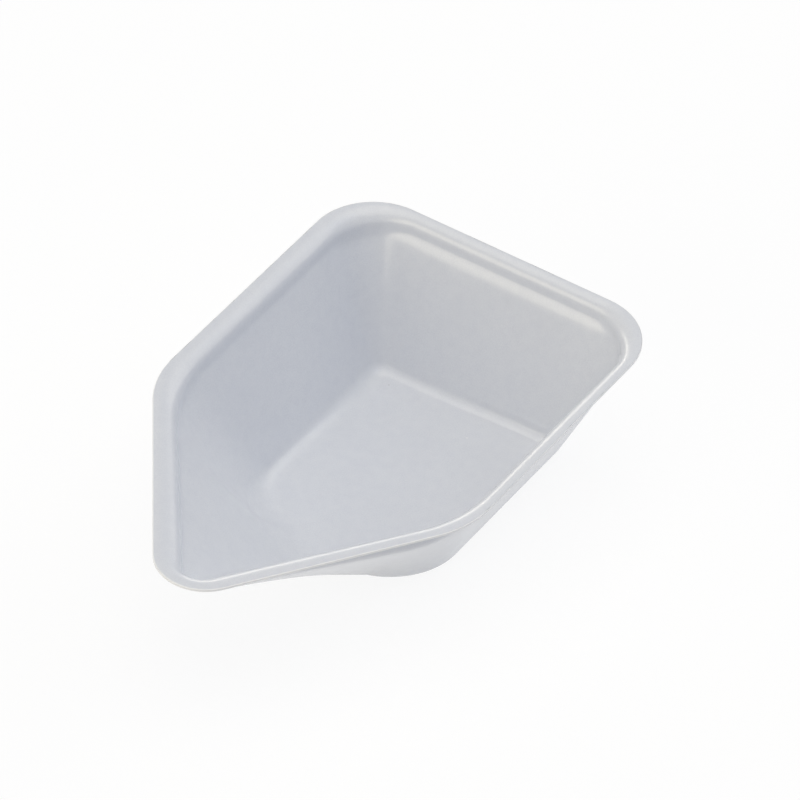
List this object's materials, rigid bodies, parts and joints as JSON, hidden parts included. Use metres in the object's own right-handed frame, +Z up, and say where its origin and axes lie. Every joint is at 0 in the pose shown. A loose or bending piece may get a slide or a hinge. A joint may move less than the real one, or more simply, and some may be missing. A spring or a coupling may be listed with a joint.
{
  "type": "weighing boat",
  "caption": "Shallow weighing dish formed from one thin plastic sheet, with a flat floor, sloping walls, a rolled flange and a ramp to a pouring tip.",
  "frame": {"origin": "middle of the overall box, on the standing plane", "axes": "+X along the length to the pouring tip, +Y across the width, +Z up out of the dish"},
  "size_m": [0.085, 0.054, 0.023],
  "materials": {
    "sheet": "white polystyrene sheet with a faint blue tint and a satin surface"
  },
  "bodies": {
    "root": {"boat": "sheet"}
  },
  "joints": []
}
